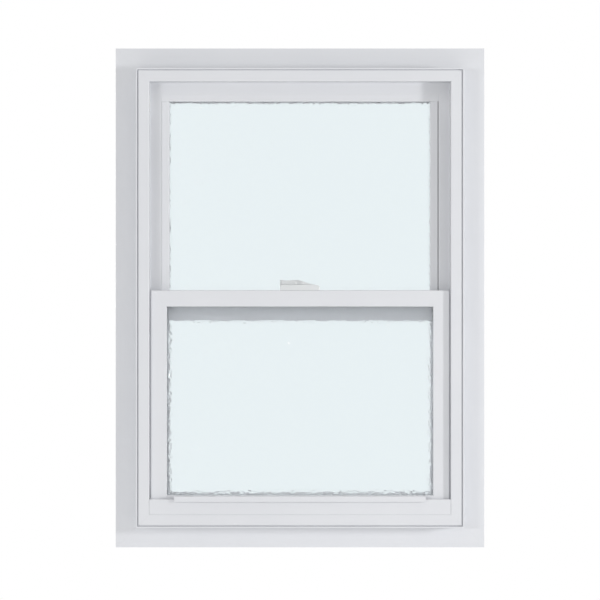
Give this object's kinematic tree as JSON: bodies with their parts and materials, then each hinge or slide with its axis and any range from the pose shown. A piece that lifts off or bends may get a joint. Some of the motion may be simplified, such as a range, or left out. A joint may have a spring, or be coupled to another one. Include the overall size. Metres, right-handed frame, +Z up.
{
  "type": "sash window",
  "caption": "White single-hung sash window with its frame and fin: a fixed obscure-glass lite above a sliding sash with a lift rail and a cam lock.",
  "frame": {"origin": "middle of the frame's underside, halfway through the frame's depth", "axes": "+X to the right seen from the room, +Y towards the outdoors, +Z up"},
  "size_m": [0.8508, 0.0886, 1.1516],
  "materials": {
    "frame_white": "satin white extrusion",
    "sash_white": "satin white extrusion",
    "obscure_glass": "pale obscure glass with a hammered texture",
    "spacer_bar": "mill finish",
    "seal_rubber": "matt",
    "pile": "brush pile",
    "lock_paint": "white powder coat",
    "lock_metal": "zinc plated",
    "screw_steel": "zinc plated",
    "balance_steel": "galvanised",
    "nylon": "moulded nylon"
  },
  "bodies": {
    "frame": {"frame_head": "frame_white", "frame_sill": "frame_white", "frame_jamb_left": "frame_white", "frame_jamb_right": "frame_white", "frame_corner_keys": "nylon", "sill_insert": "frame_white", "meeting_rail": "frame_white", "meeting_rail_screws": "screw_steel", "side_stop_left": "frame_white", "side_stop_right": "frame_white", "screen_track_left": "frame_white", "screen_track_right": "frame_white", "upper_pane_inner": "obscure_glass", "upper_pane_outer": "obscure_glass", "upper_spacer": "spacer_bar", "upper_tape_inner": "seal_rubber", "upper_tape_outer": "seal_rubber", "upper_setting_blocks": "seal_rubber", "keeper": "lock_metal", "keeper_screws": "screw_steel", "travel_stop_left": "nylon", "travel_stop_right": "nylon", "travel_stop_screws": "screw_steel", "balance_tube_left": "balance_steel", "balance_tube_right": "balance_steel", "balance_hanger_left": "nylon", "balance_hanger_right": "nylon", "balance_spring_left": "balance_steel", "balance_spring_right": "balance_steel"},
    "sash": {"sash_top_rail": "sash_white", "sash_bottom_rail": "sash_white", "sash_stile_left": "sash_white", "sash_stile_right": "sash_white", "lift_rail": "sash_white", "lower_pane_inner": "obscure_glass", "lower_pane_outer": "obscure_glass", "lower_spacer": "spacer_bar", "lower_tape": "seal_rubber", "lower_setting_blocks": "seal_rubber", "bead_left": "sash_white", "bead_right": "sash_white", "bead_top": "sash_white", "bead_bottom": "sash_white", "pile_left": "pile", "pile_right": "pile", "pile_top": "pile", "pile_bottom": "pile", "bottom_bulb": "seal_rubber", "lock_base": "lock_paint", "lock_screws": "screw_steel", "balance_rod_left": "balance_steel", "balance_rod_right": "balance_steel", "balance_shoe_left": "nylon", "balance_shoe_right": "nylon"},
    "lock_handle": {"lock_lever": "lock_paint", "lock_cam": "lock_metal"},
    "nut_left": {"balance_nut_left": "nylon"},
    "nut_right": {"balance_nut_right": "nylon"}
  },
  "joints": [
    {"name": "sash_slide", "type": "slide", "parent": "frame", "child": "sash", "axis": [0, 0, 1], "range_m": [0, 0.4067]},
    {"name": "lock_turn", "type": "hinge", "parent": "sash", "child": "lock_handle", "pos_m": [0.012, -0.0128, 0.5555], "axis": [0, 0, 1], "range_deg": [0, 170]},
    {"name": "nut_left_turn", "type": "hinge", "parent": "frame", "child": "nut_left", "pos_m": [-0.3594, -0.0218, 0.4837], "axis": [0, 0, 1], "range_deg": [0, 652]},
    {"name": "nut_right_turn", "type": "hinge", "parent": "frame", "child": "nut_right", "pos_m": [0.3594, -0.0218, 0.4837], "axis": [0, 0, 1], "range_deg": [0, 652]}
  ],
  "couplings": [
    {"joint": "nut_left_turn", "follows": "sash_slide", "rad_per_m": 27.925},
    {"joint": "nut_right_turn", "follows": "sash_slide", "rad_per_m": 27.925}
  ]
}
